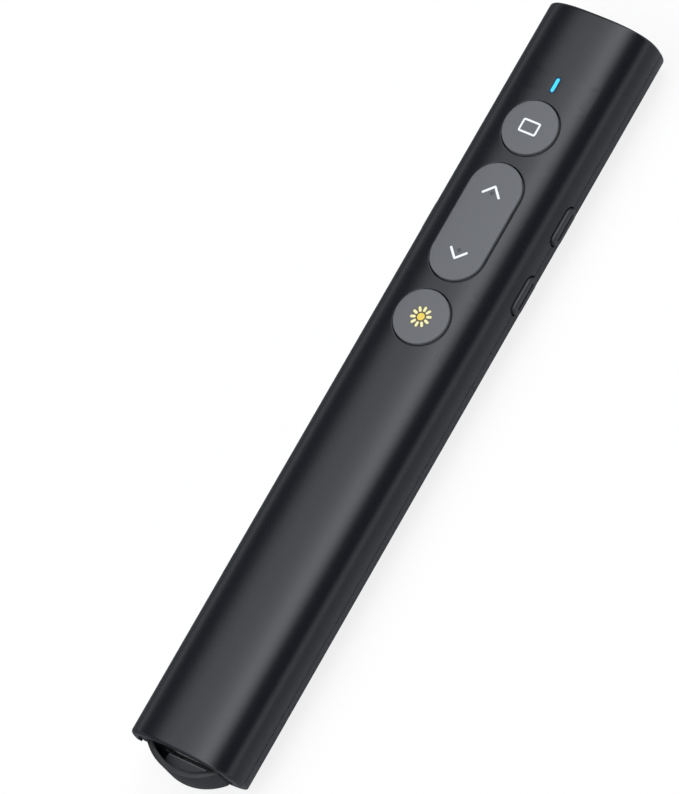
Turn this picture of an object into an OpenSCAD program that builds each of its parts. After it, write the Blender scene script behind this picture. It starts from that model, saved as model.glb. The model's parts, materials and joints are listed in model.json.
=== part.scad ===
// Wireless presentation clicker: a long crowned bar with three keys on top, two keys and a
// slide switch on its sides, a battery under a sliding cover and a USB receiver in its tail.
// Millimetres. +Y points at the laser end, +Z out of the key face; z = 0 is the underside.
// Places along the length are written as a distance back from the laser end.

/* [Body] */
// Length of the body, without the receiver's bail
body_l = 143.5; // [143.5:0.5:165]
// Width of the body
body_w = 21.8; // [21.8:0.1:26]
// Height of the body
body_h = 13.6; // [13.6:0.1:17]
// Exponent of the body's section: 2 is an ellipse, more is squarer
section_e = 2.75; // [2.6:0.05:3.2]
// Thickness of the shells
wall = 1.4; // [1.1:0.05:1.4]
// Depth of the flat that the underside rests on
rest_cut = 0.14; // [0.08:0.01:0.3]
// Length of the rounded edge at both ends
end_edge = 0.6; // [0.3:0.1:0.9]
// Length of the front underside, ahead of the battery cover
front_l = 66; // [65:0.5:72]
// How far the parting line lies below mid-height
split_drop = 0.15; // [0:0.05:0.5]
// How far inside the tail the battery cover ends, which frees the bail for a finger
cover_in = 0.8; // [0.6:0.1:1.2]
// Gap along the parting lines
seam = 0.1; // [0.05:0.01:0.2]

/* [Keys on top] */
// Diameter of the round keys and width of the page key
key_d = 10; // [8:0.1:11]
// Length of the page key
page_l = 22.4; // [20:0.1:23.5]
// How far the keys stand above the crown
key_proud = 0.45; // [0.3:0.05:0.8]
// Gap around each key
key_gap = 0.2; // [0.12:0.01:0.3]
// Travel of the round keys
key_travel = 0.3; // [0.15:0.01:0.35]
// Tilt of the page key, in degrees, each way
page_tilt = 1.5; // [1:0.1:1.6]
// Distance of the screen key from the laser end
screen_back = 23; // [22:0.1:23.5]
// Distance of the page key from the laser end
page_back = 41.6; // [41:0.1:41.8]
// Distance of the laser key from the laser end
laser_back = 60.3; // [59.5:0.1:60.3]
// Distance from the page key's middle to each of its switches
page_arm = 6.5; // [5.5:0.1:7.5]
// Distance of the indicator from the laser end
led_back = 14.4; // [13.5:0.1:14.5]
// Length of the indicator window
led_l = 3.1; // [2.5:0.1:4]
// Width of the indicator window
led_w = 0.9; // [0.7:0.1:1.4]

/* [Keys on the sides] */
// Length of each volume key
volume_l = 7.25; // [6:0.05:8]
// Height of each volume key
volume_h = 2.7; // [2.2:0.1:3]
// How far the volume keys lie below mid-height
volume_drop = 0.2; // [0:0.05:0.3]
// How far the side keys stand out of the sides
side_proud = 0.5; // [0.3:0.05:0.8]
// Travel of the volume keys
volume_travel = 0.25; // [0.1:0.01:0.3]
// Distance of the volume up key from the laser end
volume_up_back = 34.7; // [33.5:0.1:35]
// Distance of the volume down key from the laser end
volume_down_back = 48.3; // [47.5:0.1:48.5]
// Height of the power switch's knob
knob_h = 3.3; // [2.4:0.1:3.4]
// Length of the power switch's knob
knob_l = 7.5; // [6:0.1:8]
// Travel of the power switch
knob_travel = 2; // [1.5:0.1:2.2]
// Distance of the power knob from the laser end
knob_back = 42.1; // [41:0.1:42.5]

/* [Circuit board] */
// Thickness of the circuit board
board_t = 1; // [0.8:0.1:1.2]
// Width of the circuit board
board_w = 15.6; // [14.8:0.1:15.8]
// Distance of the board's front edge from the laser end
board_back = 11.5; // [11.2:0.1:12]
// Side of a tact switch under a top key
tact_w = 4.5; // [4:0.1:5]
// Height of a tact switch's case
tact_h = 1.5; // [1.3:0.1:1.6]
// Radius of a tact switch's plunger
plunger_r = 0.9; // [0.7:0.05:1.1]
// How far a plunger stands out of its switch
plunger_out = 0.55; // [0.45:0.05:0.7]

/* [Laser] */
// Radius of the laser module's barrel
barrel_r = 3; // [2.6:0.1:3.2]
// Length of the laser module's barrel
barrel_l = 7; // [6.5:0.1:7.4]
// Radius of the laser's opening in the front cap
aperture_r = 1.8; // [1.2:0.1:2]
// Thickness of the front cap
cap_t = 1.8; // [1.6:0.1:2]

/* [Battery] */
// Diameter of the battery
battery_d = 10.5; // [9.8:0.1:10.5]
// Length of the battery, with its terminal
battery_l = 44.2; // [43.5:0.1:44.5]
// Radius of the battery's terminal
terminal_r = 1.9; // [1.6:0.1:2.2]
// Thickness of the battery frame's walls
frame_t = 0.9; // [0.8:0.1:1.1]
// Fitted length of the battery spring
spring_l = 2.1; // [2:0.02:3.4]
// Diameter of the spring's wire
spring_wire = 0.6; // [0.4:0.05:0.7]
// Thickness of the battery's contact plates
contact_t = 0.3; // [0.2:0.05:0.4]

/* [Receiver] */
// How far the USB-C plug's tip lies inside the tail
plug_in = 1; // [0.9:0.1:1.4]
// Length of the USB-C plug outside the housing
usb_c_l = 7; // [6.8:0.1:7.5]
// Width of the USB-C plug
usb_c_w = 8.25; // [8:0.05:8.4]
// Height of the USB-C plug
usb_c_h = 2.4; // [2.2:0.05:2.5]
// Length of the USB-A plug outside the housing
usb_a_l = 12.1; // [12:0.1:12.4]
// Width of the USB-A plug
usb_a_w = 12; // [11.8:0.05:12.1]
// Height of the USB-A plug
usb_a_h = 4.5; // [4.3:0.05:4.6]
// Thickness of the USB-A plug's sheet metal
sheet = 0.3; // [0.2:0.05:0.35]
// Length of the receiver's housing
housing_l = 4.2; // [4:0.1:4.8]
// Width of the receiver's housing
housing_w = 12.1; // [12.1:0.05:12.3]
// Height of the receiver's housing
housing_h = 5.2; // [5:0.1:5.4]
// Distance of the bail's pivot behind the housing's front
pivot_in = 2.7; // [2.5:0.1:2.9]
// Width of the bail over its arms
bail_w = 14.4; // [14.4:0.1:14.8]
// Thickness of the bail
bail_t = 1.05; // [0.9:0.05:1.05]
// Height of the bail's band
bail_h = 5.5; // [5:0.1:5.6]
// How far the bail reaches past the tail
bail_out = 3; // [2.7:0.1:3.2]
// Radius of the bail's pins
pin_r = 1; // [0.7:0.05:1.2]
// Radial clearance of a pin in its bore
pin_fit = 0.05; // [0.03:0.01:0.08]
// Clearance around the receiver in its bay
bay_fit = 0.12; // [0.08:0.01:0.2]
// Clearance above and below the bail in the bay's mouth
mouth_fit = 1.15; // [1.1:0.05:1.25]

/* [Screws] */
// Radius of a screw's head
head_r = 1.2; // [1:0.05:1.3]
// Height of a screw's head
head_h = 0.7; // [0.5:0.05:0.8]
// Radius of a screw's shank
shank_r = 0.7; // [0.5:0.05:0.8]
// Length of a screw's shank
shank_l = 3; // [2.6:0.1:3.2]
// Radius of a screw boss
boss_r = 1.5; // [1.3:0.05:1.6]

/* [Hidden] */

$fn = 48;
touch = 0.01;       // overlap where one part of a solid meets the next
clear = 0.1;        // gap between neighbours that don't touch
lots = 200;         // longer than anything
section_points = 96;
end_steps = 3;

// The body's section and its two halves
half_w = body_w / 2;
half_h = (body_h + rest_cut) / 2;
axis_z = body_h - half_h;
split_z = axis_z - split_drop;
front_y = (body_l + bail_out) / 2;

// Heights under the crown, from the keys down to the board
key_r = key_d / 2;
flange_r = key_r + 0.8;
flange_t = 0.7;
flange_top = inner_z(flange_r, wall) - clear;
foot_l = 0.6;
foot_r = 1.6;
foot_z = flange_top - flange_t - foot_l;
board_top = foot_z - plunger_out - tact_h;
board_z = board_top - board_t;
plunger_in = 0.45;
plunger_fit = 0.1;
bottom_gap = 0.05;

// Stations of the laser's parts
barrel_back = cap_t + 0.35;
barrel_end = barrel_back + barrel_l;
collar_l = 5;
lens_back = cap_t + 1;
lens_t = 1.2;
diode_t = 2.55;
diode_leads = [-1.2, 0, 1.2];
diode_lead_r = 0.22;

// Parts on the board: distance from the laser end, width, length and height
chip = [29.5, 5, 5, 0.9];
quartz = [35.25, 3.2, 2.5, 0.8];
led_case = [led_back, 1.2, 2, 0.8];

// The page key's pivot
page_pin_r = 0.6;
page_pin_z = flange_top - flange_t - page_pin_r - 0.05;
page_rib = 1.2;
ear_t = 1.2;
ear_x = key_r + 0.9;
ear_l = 3;
ear_drop = 1.3;
page_pin_l = 2 * (ear_x + ear_t);

// Places across the side keys, from the sides inwards
flange_knob_h = knob_h + 1.6;
flange_volume_h = volume_h + 1.6;
flange_x = inner_x(flange_knob_h / 2, wall) - clear;
flange_side_t = 0.6;
flange_side_more = 2.6;
side_foot_x = board_w / 2 + volume_travel + bottom_gap;
side_switch_h = 2.8;
side_switch_w = 4;
side_switch_d = 2.5;
side_switch_x = side_foot_x - plunger_out;
side_switch_z = board_z - side_switch_h / 2;
side_plunger_r = 0.7;
line_w = 0.4;
line_depth = 0.25;
stem_w = 1.5;
stem_h = 1.2;
power_case_l = 8.6;
fork_t = 1;
fork_fit = 0.05;
knob_ribs = 5;
knob_rib_pitch = 0.9;
knob_rib_in = 0.6;

// The battery cover's runners: a tongue on the cover lies over a ledge on the frame and the bay
ledge_z = axis_z - 2.35;
ledge_t = 0.8;
bay_drop = 2.9;
tongue_z = ledge_z + ledge_t + 0.2;
tongue_t = 0.8;
tongue_x = bail_w / 2 + 1.1;
groove_top = tongue_z + tongue_t + 0.2;
lip_x = 4.5;
lip_w = 1.8;
lip_t = 0.7;
lip_l = 3.5;
lip_z = 2 * axis_z - inner_z(lip_x + lip_w / 2, wall) + 0.15;
grip_in = 5;
grip_back = front_l + grip_in;
grip_count = 4;
grip_pitch = 1.6;
grip_w = 7;
grip_depth = 0.25;
inside = wall + 0.2;

// Stations along the length, from the tail forwards
housing_back = body_l - plug_in - usb_c_l;
pivot_back = housing_back - pivot_in;
receiver_in = plug_in + usb_c_l + housing_l + usb_a_l;
mouth_side = 0.2;
bay_wall = 0.8;
bay_back = body_l - receiver_in - bay_fit - bay_wall;
plate_back = bay_back - frame_t - contact_t;
battery_back = plate_back - spring_l - battery_l;
terminal_l = 0.9;
frame_back = battery_back - contact_t - frame_t;
frame_drop = 3.73;
frame_z = axis_z - frame_drop;
case_screw_back = frame_back - boss_r - 0.4;
board_end = case_screw_back - 3.3;
cradle_x = battery_d / 2 + 0.25;
lug_z = axis_z + 1.05;
lug_t = 1.5;
lug_x = cradle_x + frame_t + boss_r + 0.15;

// The contacts' tabs and the leads soldered to them
plate_x = 4;
tab_drop = 2.93;
tab_z = axis_z - tab_drop;
tab_h = 0.4;
tab_w = 1.2;
plus_x = 4.4;
minus_x = cradle_x + frame_t + 0.6;
lead_r = 0.35;
lead_back = board_end - 3;

// Receiver
core_fit = 0.05;
arm_x = bail_w / 2 - bail_t;
bail_r = (pow(bail_w / 2, 2) + pow(bail_out, 2)) / (2 * bail_out);
bail_back = body_l + bail_out - bail_r;
tongue_h = 1.9;
c_wall = 0.25;
c_sleeve = 0.45;
c_contact_t = 0.12;
web_h = 2.4;
web_fit = 0.75;
collar_out = 0.5;
collar_more = 0.7;
receiver_board_w = 9.6;
receiver_board_h = 0.8;
receiver_chamber_h = 1.8;
usb_c_root = housing_back - 1.1;
usb_a_root = housing_back - housing_l;
usb_a_tip = usb_a_root - usb_a_l;
catch_x = 2.9;
catch_w = 2.2;
catch_in = 3.6;
catch_l = 2.3;
a_contacts = [-3.5, -1, 1, 3.5];
a_contact_w = 1;

// Screws: x, distance from the laser end, and the height that the head bears on
board_screw_backs = [15.5, 54];
frame_screw_in = 25;
bay_screw_in = 3.5;
board_screws = [for (x = [-1, 1], back = board_screw_backs)
    [x * (board_w / 2 - boss_r - 0.1), back, board_z]];
frame_screws = [for (x = [-1, 1]) [x * lug_x, frame_back + frame_screw_in, lug_z]];
bay_screws = [for (x = [-1, 1]) [x * lug_x, bay_back + bay_screw_in, lug_z]];
case_lug_z = 2.75;
case_lug_t = 1;
case_lug_w = 5.8;
case_lug_l = 1.8;
lip_in = 2.5;
case_screws = [[0, case_screw_back, case_lug_z]];

// Height of the section's upper line at x, and its half width at a height dz from the axis
function inner_z(x, inset) =
    axis_z + (half_h - inset) * pow(1 - pow(abs(x) / (half_w - inset), section_e), 1 / section_e);
function inner_x(dz, inset) =
    (half_w - inset) * pow(1 - pow(abs(dz) / (half_h - inset), section_e), 1 / section_e);
function y_at(back) = front_y - back;

// The section, a superellipse drawn in from the outside by inset and cut flat at the underside
module section(inset = 0) {
    a = half_w - inset;
    b = half_h - inset;
    intersection() {
        translate([0, axis_z])
            polygon([for (i = [0:section_points - 1])
                let (t = (i + 0.5) * 360 / section_points,
                     r = pow(pow(abs(cos(t)) / a, section_e) + pow(abs(sin(t)) / b, section_e),
                             -1 / section_e))
                [r * cos(t), r * sin(t)]]);
        translate([-lots / 2, 0]) square(lots);
    }
}

// Extrudes a drawing in x and z from one station to another along the length
module along(from, to) {
    translate([0, y_at(from), 0]) rotate([90, 0, 0]) linear_extrude(to - from) children();
}

// A box from x0 to x1, between two stations, and from z0 to z1
module block(x0, x1, from, to, z0, z1) {
    translate([x0, y_at(to), z0]) cube([x1 - x0, to - from, z1 - z0]);
}

// A round-ended bar lying along the length, l long and w wide, h thick upwards
module pill(l, w, h) {
    for (side = [-1, 1]) translate([0, side * (l - w) / 2, 0]) cylinder(d = w, h = h);
    translate([-w / 2, -(l - w) / 2, 0]) cube([w, l - w, h]);
}

// The same bar on its side, thick from x0 to x1
module side_pill(l, w, x0, x1) {
    translate([x0, 0, 0]) rotate([0, 90, 0]) pill(l, w, x1 - x0);
}

// A drum lying across the body
module cross_pin(r, x0, x1) {
    translate([x0, 0, 0]) rotate([0, 90, 0]) cylinder(r = r, h = x1 - x0);
}

// A drum lying along the body between two stations
module long_pin(r, from, to) {
    translate([0, y_at(from), 0]) rotate([90, 0, 0]) cylinder(r = r, h = to - from);
}

// The outer form, its two ends rounded off in steps just outside a quarter circle
module bar() {
    for (step = [1:end_steps]) {
        back = end_edge * (1 - sin(90 * step / end_steps));
        along(back, body_l - back) section(end_edge * (1 - cos(90 * (step - 1) / end_steps)));
    }
}

// The form inside the shells, right through
module hollow(inset = wall) {
    along(-1, body_l + 1) section(inset);
}

// Everything above or below a height
module above(z) {
    translate([-lots / 2, -lots / 2, z]) cube(lots);
}
module below(z) {
    translate([-lots / 2, -lots / 2, z - lots]) cube(lots);
}

// Openings for the side keys, cut through the side walls on the parting line
module side_windows() {
    for (back = [volume_up_back, volume_down_back])
        translate([0, y_at(back), axis_z - volume_drop])
            side_pill(volume_l + 2 * key_gap, volume_h + 2 * key_gap, half_w - 3, half_w + 2);
    translate([0, y_at(knob_back + knob_travel / 2), axis_z])
        side_pill(knob_l + knob_travel + 2 * key_gap, knob_h + 2 * key_gap, -half_w - 2, 3 - half_w);
}

module at_screws(list) {
    for (s = list) translate([s[0], y_at(s[1]), s[2]]) children();
}

module upper_shell() {
    color([0.15, 0.15, 0.16]) {
        difference() {
            intersection() {
                bar();
                above(split_z);
            }
            difference() {
                hollow();
                hanging_ribs();
            }
            for (back = [screen_back, laser_back])
                translate([0, y_at(back), axis_z]) cylinder(r = key_r + key_gap, h = lots);
            translate([0, y_at(page_back), axis_z])
                pill(page_l + 2 * key_gap, key_d + 2 * key_gap, lots);
            translate([0, y_at(led_back), axis_z])
                pill(led_l + 0.06, led_w + 0.06, lots);
            side_windows();
            for (list = [board_screws, frame_screws, bay_screws, case_screws])
                at_screws(list) cylinder(r = shank_r + 0.02, h = shank_l + clear);
            translate([0, y_at(page_back), page_pin_z])
                cross_pin(page_pin_r + pin_fit, -ear_x - ear_t - 1, ear_x + ear_t + 1);
        }
    }
}

// Bosses and bearing ears inside the upper shell
module hanging_ribs() {
    for (s = board_screws)
        translate([s[0], y_at(s[1]), s[2] + board_t]) cylinder(r = boss_r, h = body_h);
    for (s = concat(frame_screws, bay_screws))
        translate([s[0], y_at(s[1]), s[2] + lug_t]) cylinder(r = boss_r, h = body_h);
    for (s = case_screws)
        translate([s[0], y_at(s[1]), s[2] + case_lug_t]) cylinder(r = boss_r, h = body_h);
    for (x = [-ear_x - ear_t, ear_x])
        block(x, x + ear_t, page_back - ear_l / 2, page_back + ear_l / 2, page_pin_z - ear_drop, body_h);
}

module lower_shell() {
    color([0.14, 0.14, 0.15]) {
        difference() {
            intersection() {
                bar();
                below(split_z - seam);
                block(-lots, lots, -1, front_l, -1, lots);
            }
            hollow();
            side_windows();
        }
        // Lap lip that stands inside the upper shell
        difference() {
            along(cap_t + 0.8, front_l - lip_in) difference() {
                section(wall - touch);
                section(wall + 0.6);
            }
            below(split_z - 1.8);
            above(split_z + 0.8);
            difference() {
                above(split_z - seam - touch);
                hollow(wall + 0.05);
            }
            lip_gaps();
        }
        // Lug that the case screw passes through, under the battery cover
        difference() {
            intersection() {
                block(-case_lug_w / 2, case_lug_w / 2,
                    min(front_l - lip_in, case_screw_back - case_lug_l), case_screw_back + case_lug_l,
                    0, case_lug_z + case_lug_t);
                hollow(wall - touch);
                union() {
                    block(-case_lug_w, case_lug_w, 0, front_l - touch, 0, lots);
                    hollow(inside);
                }
            }
            at_screws(case_screws) {
                translate([0, 0, -lots]) cylinder(r = shank_r + clear, h = 2 * lots);
                translate([0, 0, -lots]) cylinder(r = head_r + clear, h = lots);
            }
        }
    }
}

// Where the side keys' flanges move past the lap lip
module lip_gaps() {
    for (back = [volume_up_back, volume_down_back])
        block(0, lots, back - volume_l / 2 - 1.6, back + volume_l / 2 + 1.6, 0, lots);
    block(-lots, 0, knob_back - knob_l / 2 - 1.8, knob_back + knob_l / 2 + knob_travel + 1.8, 0, lots);
}

module battery_cover() {
    color([0.14, 0.14, 0.15]) {
        difference() {
            intersection() {
                bar();
                below(split_z - seam);
                block(-lots, lots, front_l + seam, body_l - cover_in, -1, lots);
            }
            hollow();
            // Grip grooves for the thumb
            for (i = [0:grip_count - 1])
                block(-grip_w / 2, grip_w / 2, grip_back + i * grip_pitch,
                    grip_back + i * grip_pitch + grip_pitch / 2, -1, grip_depth);
        }
        // Tongues that run over the ledges
        intersection() {
            hollow(wall - touch);
            for (side = [-1, 1])
                block(side > 0 ? tongue_x : -lots, side > 0 ? lots : -tongue_x,
                    frame_back + 3, body_l - cover_in - 1.5, tongue_z, tongue_z + tongue_t);
        }
        // Lips that hook over the front underside's edge
        for (side = [-1, 1]) {
            x0 = side * lip_x - lip_w / 2;
            intersection() {
                hollow(wall - touch);
                block(x0, x0 + lip_w, front_l + seam, front_l + lip_l, 0, lip_z + lip_t);
            }
            block(x0, x0 + lip_w, front_l - 1.6, front_l + seam + touch, lip_z, lip_z + lip_t);
        }
    }
}

module front_cap() {
    color([0.08, 0.08, 0.09])
        difference() {
            union() {
                along(0.3, cap_t + 0.3) section(wall + 0.05);
                translate([0, 0, axis_z]) long_pin(barrel_r + 1.1, cap_t, cap_t + collar_l);
            }
            translate([0, 0, axis_z]) {
                long_pin(aperture_r, -1, cap_t + 1);
                long_pin(barrel_r - 0.35, cap_t - 0.5, cap_t + 1);
                long_pin(barrel_r + 0.02, cap_t + 0.3, cap_t + 8);
            }
        }
}

module laser_window() {
    color([0.5, 0.1, 0.1, 0.5])
        translate([0, 0, axis_z]) long_pin(barrel_r - 0.4, cap_t - 0.5, cap_t + 0.3);
}

module laser_barrel() {
    color([0.75, 0.6, 0.3])
        translate([0, 0, axis_z])
            difference() {
                long_pin(barrel_r, barrel_back, barrel_end);
                long_pin(barrel_r - 1.1, -1, lens_back + touch);
                long_pin(barrel_r - 0.6, lens_back, lots);
            }
}

module laser_lens() {
    color([0.8, 0.85, 0.9, 0.5])
        translate([0, 0, axis_z]) long_pin(barrel_r - 0.62, lens_back, lens_back + lens_t);
}

module laser_diode() {
    color([0.8, 0.75, 0.5])
        translate([0, 0, axis_z]) {
            long_pin(barrel_r - 0.62, barrel_end - diode_t, barrel_end);
            for (x = diode_leads)
                translate([x, 0, 0]) long_pin(diode_lead_r, barrel_end - touch, board_back + 1.2);
        }
}

module light_pipe() {
    color([0.2, 0.7, 0.95])
        translate([0, y_at(led_back), 0]) {
            translate([0, 0, board_top + 0.85]) pill(led_l, led_w, body_h - board_top - 0.9);
            translate([0, 0, body_h - wall - 1.1]) pill(led_l + 1, led_w + 1, 1);
        }
}

// A part soldered to the board, whose underside is at z
module part_box(p, z) {
    block(-p[1] / 2, p[1] / 2, p[0] - p[2] / 2, p[0] + p[2] / 2, z, z + p[3]);
}

module indicator_led() {
    color([0.9, 0.9, 0.8])
        part_box(led_case, board_top);
}

module circuit_board() {
    color([0.1, 0.35, 0.2])
        difference() {
            block(-board_w / 2, board_w / 2, board_back, board_end, board_z, board_top);
            at_screws(board_screws) translate([0, 0, -1]) cylinder(r = shank_r + clear, h = 5);
            for (x = diode_leads)
                block(x - 0.3, x + 0.3, 0, board_back + 1.3, 0, lots);
        }
}

module radio_chip() {
    color([0.05, 0.05, 0.05])
        part_box(chip, board_z - chip[3]);
}

module crystal() {
    color([0.75, 0.75, 0.75])
        part_box(quartz, board_z - quartz[3]);
}

// A case for each switch under the top keys, bored deep enough for its plunger's travel
module top_switches() {
    page_drop = page_arm * sin(page_tilt);
    color([0.2, 0.2, 0.2])
        for (s = [[screen_back, key_travel], [page_back - page_arm, page_drop],
                  [page_back + page_arm, page_drop], [laser_back, key_travel]])
            difference() {
                block(-tact_w / 2, tact_w / 2, s[0] - tact_w / 2, s[0] + tact_w / 2,
                    board_top, board_top + tact_h);
                translate([0, y_at(s[0]), board_top + tact_h - plunger_in - s[1] - bottom_gap])
                    cylinder(r = plunger_r + plunger_fit, h = tact_h);
            }
}

module top_plunger(back) {
    translate([0, y_at(back), foot_z - plunger_out - plunger_in])
        cylinder(r = plunger_r, h = plunger_out + plunger_in);
}

module volume_switches() {
    color([0.2, 0.2, 0.2])
        for (back = [volume_up_back, volume_down_back])
            difference() {
                block(side_switch_x - side_switch_d, side_switch_x, back - side_switch_w / 2,
                    back + side_switch_w / 2, board_z - side_switch_h, board_z);
                translate([0, y_at(back), side_switch_z])
                    cross_pin(side_plunger_r + plunger_fit,
                        side_switch_x - plunger_in - volume_travel - bottom_gap, side_switch_x + 1);
            }
}

module side_plunger(back) {
    translate([0, y_at(back), side_switch_z])
        cross_pin(side_plunger_r, side_switch_x - plunger_in, side_foot_x);
}

module power_switch_case() {
    color([0.6, 0.6, 0.6])
        difference() {
            block(-side_switch_x, side_switch_d - side_switch_x, knob_back - power_case_l / 2,
                knob_back + power_case_l / 2 + knob_travel, board_z - side_switch_h, board_z);
            block(-lots, 1.6 - side_switch_x, knob_back - stem_w / 2 - clear,
                knob_back + stem_w / 2 + knob_travel + clear, side_switch_z - stem_h / 2 - clear,
                side_switch_z + stem_h / 2 + clear);
        }
}

module power_switch_stem() {
    color([0.1, 0.1, 0.1])
        block(0.1 - flange_x + flange_side_t, 1.5 - side_switch_x, knob_back - stem_w / 2,
            knob_back + stem_w / 2, side_switch_z - stem_h / 2, side_switch_z + stem_h / 2);
}

// A key cap whose top follows the crown, standing proud of it
module crowned(z0) {
    intersection() {
        children();
        along(0, body_l) section(-key_proud);
        above(z0);
    }
}

module round_key(back) {
    translate([0, y_at(back), 0]) {
        translate([0, 0, flange_top - flange_t]) cylinder(r = flange_r, h = flange_t);
        translate([0, 0, foot_z]) cylinder(r = foot_r, h = foot_l + touch);
    }
    crowned(flange_top - touch)
        translate([0, y_at(back), 0]) cylinder(r = key_r, h = lots);
}

module screen_button() {
    color([0.46, 0.46, 0.48]) round_key(screen_back);
}

module screen_plunger() {
    color([0.3, 0.3, 0.3]) top_plunger(screen_back);
}

module laser_button() {
    color([0.46, 0.46, 0.48]) round_key(laser_back);
}

module laser_plunger() {
    color([0.3, 0.3, 0.3]) top_plunger(laser_back);
}

module page_rocker() {
    color([0.46, 0.46, 0.48]) {
        crowned(flange_top - flange_t)
            translate([0, y_at(page_back), 0]) pill(page_l, key_d, lots);
        block(-key_r + 0.2, key_r - 0.2, page_back - page_rib, page_back + page_rib,
            page_pin_z - 0.7, flange_top - flange_t + touch);
        translate([0, y_at(page_back), page_pin_z]) cross_pin(page_pin_r, -page_pin_l / 2, page_pin_l / 2);
        for (side = [-1, 1])
            translate([0, y_at(page_back + side * page_arm), foot_z])
                cylinder(r = foot_r, h = foot_l + touch);
    }
}

module page_plungers() {
    color([0.3, 0.3, 0.3])
        for (side = [-1, 1]) top_plunger(page_back + side * page_arm);
}

// A side key on the right: cap, flange inside the wall, and foot on its plunger
module volume_key(back) {
    translate([0, y_at(back), axis_z - volume_drop]) {
        difference() {
            side_pill(volume_l, volume_h, flange_x - touch, half_w + side_proud);
            translate([half_w + side_proud - line_depth, 1 - volume_l / 2, -line_w / 2])
                cube([1, volume_l - 2, line_w]);
        }
        side_pill(volume_l + flange_side_more, flange_volume_h, flange_x - flange_side_t, flange_x);
    }
    block(side_foot_x, flange_x, back - 1.2, back + 1.2, side_switch_z - 1, side_switch_z + 1);
}

module volume_up_button() {
    color([0.12, 0.12, 0.13]) volume_key(volume_up_back);
}

module volume_up_plunger() {
    color([0.3, 0.3, 0.3]) side_plunger(volume_up_back);
}

module volume_down_button() {
    color([0.12, 0.12, 0.13]) volume_key(volume_down_back);
}

module volume_down_plunger() {
    color([0.3, 0.3, 0.3]) side_plunger(volume_down_back);
}

// The power switch's knob on the left, with ribs for the thumb and a fork on the stem
module power_knob() {
    color([0.12, 0.12, 0.13]) {
        difference() {
            translate([0, y_at(knob_back), axis_z])
                side_pill(knob_l, knob_h, -half_w - side_proud, touch - flange_x);
            for (i = [0:knob_ribs - 1]) {
                back = knob_back + (i - (knob_ribs - 1) / 2) * knob_rib_pitch;
                block(-lots, line_depth - half_w - side_proud, back - line_w / 2, back + line_w / 2,
                    axis_z - knob_h / 2 + knob_rib_in, axis_z + knob_h / 2 - knob_rib_in);
            }
        }
        translate([0, y_at(knob_back), axis_z])
            side_pill(knob_l + flange_side_more, flange_knob_h, -flange_x, flange_side_t - flange_x);
        for (side = [-1, 1]) {
            back = knob_back + side * (stem_w + fork_t + 2 * fork_fit) / 2;
            block(-flange_x, 0.6 - flange_x + flange_side_t, back - fork_t / 2, back + fork_t / 2,
                side_switch_z - 0.8, side_switch_z + 0.8);
        }
    }
}

module battery_frame() {
    color([0.18, 0.18, 0.19])
        difference() {
            intersection() {
                hollow(inside);
                union() {
                    for (side = [-1, 1]) {
                        x0 = side > 0 ? cradle_x : -cradle_x - frame_t;
                        block(x0, x0 + frame_t, frame_back, bay_back, frame_z, lug_z + lug_t);
                        block(side > 0 ? cradle_x : -lots, side > 0 ? lots : -cradle_x,
                            frame_back, bay_back, ledge_z, ledge_z + ledge_t);
                    }
                    for (back = [frame_back, bay_back - frame_t])
                        block(-cradle_x - touch, cradle_x + touch, back, back + frame_t,
                            frame_z, lug_z + lug_t);
                    at_screws(frame_screws) cylinder(r = boss_r + 0.2, h = lug_t);
                }
            }
            at_screws(frame_screws) translate([0, 0, -1]) cylinder(r = shank_r + clear, h = lug_t + 2);
            // A slot for each contact's tab: the plus tab leaves forwards, the other sideways
            block(plus_x - tab_w / 2 - clear, plus_x + tab_w / 2 + clear, frame_back - 1,
                frame_back + frame_t + 1, tab_z - clear, tab_z + tab_h + clear);
            block(-lots, 0, plate_back - clear, plate_back + contact_t + clear,
                tab_z - clear, tab_z + tab_h + clear);
        }
}

module plus_contact() {
    color([0.8, 0.8, 0.78]) {
        block(-plate_x, plate_x, frame_back + frame_t, battery_back, tab_z, lug_z + 1);
        block(plus_x - tab_w / 2, plus_x + tab_w / 2, frame_back - 0.8, frame_back + frame_t + touch,
            tab_z, tab_z + tab_h);
    }
}

module battery_can() {
    color([0.55, 0.56, 0.58])
        translate([0, 0, axis_z])
            long_pin(battery_d / 2, battery_back + terminal_l, battery_back + battery_l);
}

module battery_terminal() {
    color([0.8, 0.8, 0.8])
        translate([0, 0, axis_z])
            long_pin(terminal_r, battery_back, battery_back + terminal_l);
}

// A conical compression spring, a round wire swept along a narrowing helix
spring_from = battery_back + battery_l;
spring_turns = 4;
spring_steps = 18;
spring_sides = 8;
spring_r0 = 3.4;
spring_r1 = 1.9;
function spring_place(i) =
    let (n = spring_turns * spring_steps, f = i / n, t = 360 * i / spring_steps,
         r = spring_r1 + (spring_r0 - spring_r1) * f)
    [r, t, spring_from + spring_wire / 2 + f * (plate_back - spring_from - spring_wire)];
module battery_spring() {
    n = spring_turns * spring_steps;
    rings = [for (i = [0:n]) let (p = spring_place(i)) [for (k = [0:spring_sides - 1])
        let (u = 360 * k / spring_sides, r = p[0] + spring_wire / 2 * cos(u))
        [r * cos(p[1]), y_at(p[2]) + spring_wire / 2 * sin(u), axis_z + r * sin(p[1])]]];
    points = [for (ring = rings) each ring];
    m = spring_sides;
    color([0.8, 0.8, 0.78])
        polyhedron(points, concat(
            [[for (k = [0:m - 1]) k]],
            [for (i = [0:n - 1], k = [0:m - 1])
                [i * m + k, (i + 1) * m + k, (i + 1) * m + (k + 1) % m, i * m + (k + 1) % m]],
            [[for (k = [m - 1:-1:0]) n * m + k]]));
}

module spring_plate() {
    color([0.8, 0.8, 0.78]) {
        block(-plate_x, plate_x, plate_back, plate_back + contact_t, tab_z, lug_z + 1);
        block(-minus_x - tab_w / 2, touch - plate_x, plate_back, plate_back + contact_t,
            tab_z, tab_z + tab_h);
    }
}

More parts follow.
